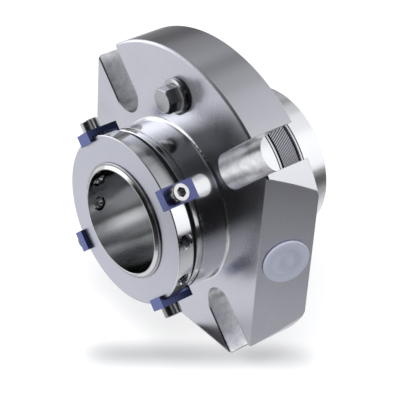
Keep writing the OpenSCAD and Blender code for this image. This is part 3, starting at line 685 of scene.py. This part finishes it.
# Soft boxes and dark flags of the studio, in degrees. Each row: bearing from and to, its softness, height
# from and to, its softness, brightness. A row lies over the rows before it.
BOXES = (
    (-200, 200, 5, 64, 99, 4, 0.30),
    (205, 300, 7, -40, 48, 4, 0.60),
    (208, 298, 7, -40, 38, 4, 1.05),
    (208, 297, 7, -40, 27, 4, 1.95),
    (175, 212, 8, 38, 60, 5, 0.26),
    (186, 212, 6, 18, 30, 4, 0.60),
    (294, 332, 5, -40, 61, 4, 0.33),
    (297, 330, 5, 20, 38, 5, 0.46),
    (294, 320, 4, -40, 14, 4, 0.15),
    (297, 318, 4, 36, 56, 4, 0.75),
    (-32, -8, 5, -40, 42, 5, 0.60),
    (-31, -8, 6, 40, 62, 4, 0.74),
    (-9, 64, 5, -40, 62, 4, 1.05),
    (32, 62, 5, 2, 50, 5, 1.33),
    (63, 203, 4, -40, 32, 4, 0.015),
    (112, 134, 3, 34, 46, 3, 0.85),
)


def make_dome():
    """Surround of soft boxes and flags, seen only in reflections."""
    bm = bmesh.new()
    bmesh.ops.create_uvsphere(bm, u_segments=96, v_segments=48, radius=DOME_R)
    me = bpy.data.meshes.new("dome")
    bm.to_mesh(me)
    bm.free()
    o = link(bpy.data.objects.new("dome", me))
    m, t = material("dome_boxes")
    p = place(t)
    signed, full = bearing(t, p)
    height = t.mul(t.math("ARCSINE", t.math("DIVIDE", p.z, DOME_R)), 180.0 / math.pi)
    level = DOME_LEVEL
    for low, high, soft, down, up, fade, value in BOXES:
        turn = signed if low < 0 else full
        inside = t.mul(t.near(turn, low, high, soft), t.near(height, down, up, fade))
        level = t.mix_value(inside, level, value)
    glow(o, m, t, level)


def make_floor_tone():
    """A painted reflection of the floor that only the metal sees: white at the left, grey nearby, dark to
    the front right, with a painted shadow near the foot.
    """
    o = sheet("floor_tone", FLOOR_Z + TONE_LIFT)
    m, t = material("floor_tones")
    p = place(t)
    _, full = bearing(t, p)
    far = t.length(p.x, p.y)
    level = t.mix_value(t.mul(t.near(full, 296, 332, 5), t.step(far, 0.30, 0.42)), 0.95, 0.26)
    side = t.step(far, 0.02, 0.09, 0.92, 0.56)
    side = t.mix_value(t.step(far, 0.09, 0.16), side, 0.40)
    side = t.mix_value(t.step(far, 0.16, 0.20), side, 0.30)
    side = t.mix_value(t.step(far, 0.20, 0.27), side, 0.02)
    level = t.mix_value(t.near(full, 40, 152, 6), level, side)
    # Painted shadow near the foot, as the metal sees it
    foot_shadow = t.mul(t.near(full, 104, 138, 4), t.below(far, 0.0485, 0.0575))
    level = t.mix_value(foot_shadow, level, 0.08)
    front = t.step(far, 0.114, 0.151, 0.92, 0.30)
    front = t.mix_value(t.step(far, 0.146, 0.188), front, 0.03)
    level = t.mix_value(t.near(full, 148, 204, 5), level, front)
    corner = t.mul(t.near(full, 232.5, 246, 2), t.near(far, 0.17, 0.24, 0.02))
    level = t.mix_value(corner, level, 0.83)
    back = t.mix_value(t.step(far, 0.45, 0.55), 0.13, 0.35)
    level = t.mix_value(t.mul(t.near(full, 36, 58, 3), t.step(far, 0.17, 0.24)), level, back)
    glow(o, m, t, level)


def make_key():
    """A soft lamp from above and in front, which reflections don't see."""
    light = bpy.data.lights.new("key", "AREA")
    light.shape = "RECTANGLE"
    light.size = 0.9
    light.size_y = 0.9
    light.energy = 9.0
    o = link(bpy.data.objects.new("key", light))
    o.location = (0.15, -0.35, 1.1)
    o.rotation_euler = (-o.location).to_track_quat("-Z", "Y").to_euler()
    o.visible_glossy = False


def make_world():
    """Grey light all round, which camera, glossy and transmission rays see as white."""
    world = bpy.data.worlds.new("studio")
    bpy.context.scene.world = world
    world.use_nodes = True
    t = Tree(world.node_tree)
    background = t.add("ShaderNodeBackground")
    t.put(t.mix_color(rays(t), (0.60, 0.61, 0.64, 1), (1, 1, 1, 1)), background.inputs["Color"])
    out = t.add("ShaderNodeOutputWorld")
    t.link(background.outputs[0], out.inputs[0])


def make_camera():
    """The fitted place and direction of the photograph's viewpoint, in the part's frame."""
    spot = Vector((0.467777, -0.420009, 0.436468))
    right = Vector((0.629333, 0.775120, 0.055939))
    up = Vector((-0.479417, 0.330578, 0.812944))
    back = right.cross(up)
    data = bpy.data.cameras.new("camera")
    data.sensor_width = 36.0
    data.lens = 145.86
    data.clip_start = 0.01
    data.clip_end = 50.0
    camera = link(bpy.data.objects.new("camera", data))
    camera.matrix_world = Matrix((
        (right.x, up.x, back.x, spot.x),
        (right.y, up.y, back.y, spot.y),
        (right.z, up.z, back.z, spot.z),
        (0, 0, 0, 1)))
    bpy.context.scene.camera = camera


make_floor()
make_floor_tone()
make_dome()
make_key()
make_world()
make_camera()
bpy.context.scene.view_settings.view_transform = "Standard"


def shorten(name):
    """Gives a set of springs its own copy of its mesh; it does not shorten them."""
    o = bpy.data.objects[name]
    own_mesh(o)


shorten("inboard_springs")
shorten("outboard_springs")
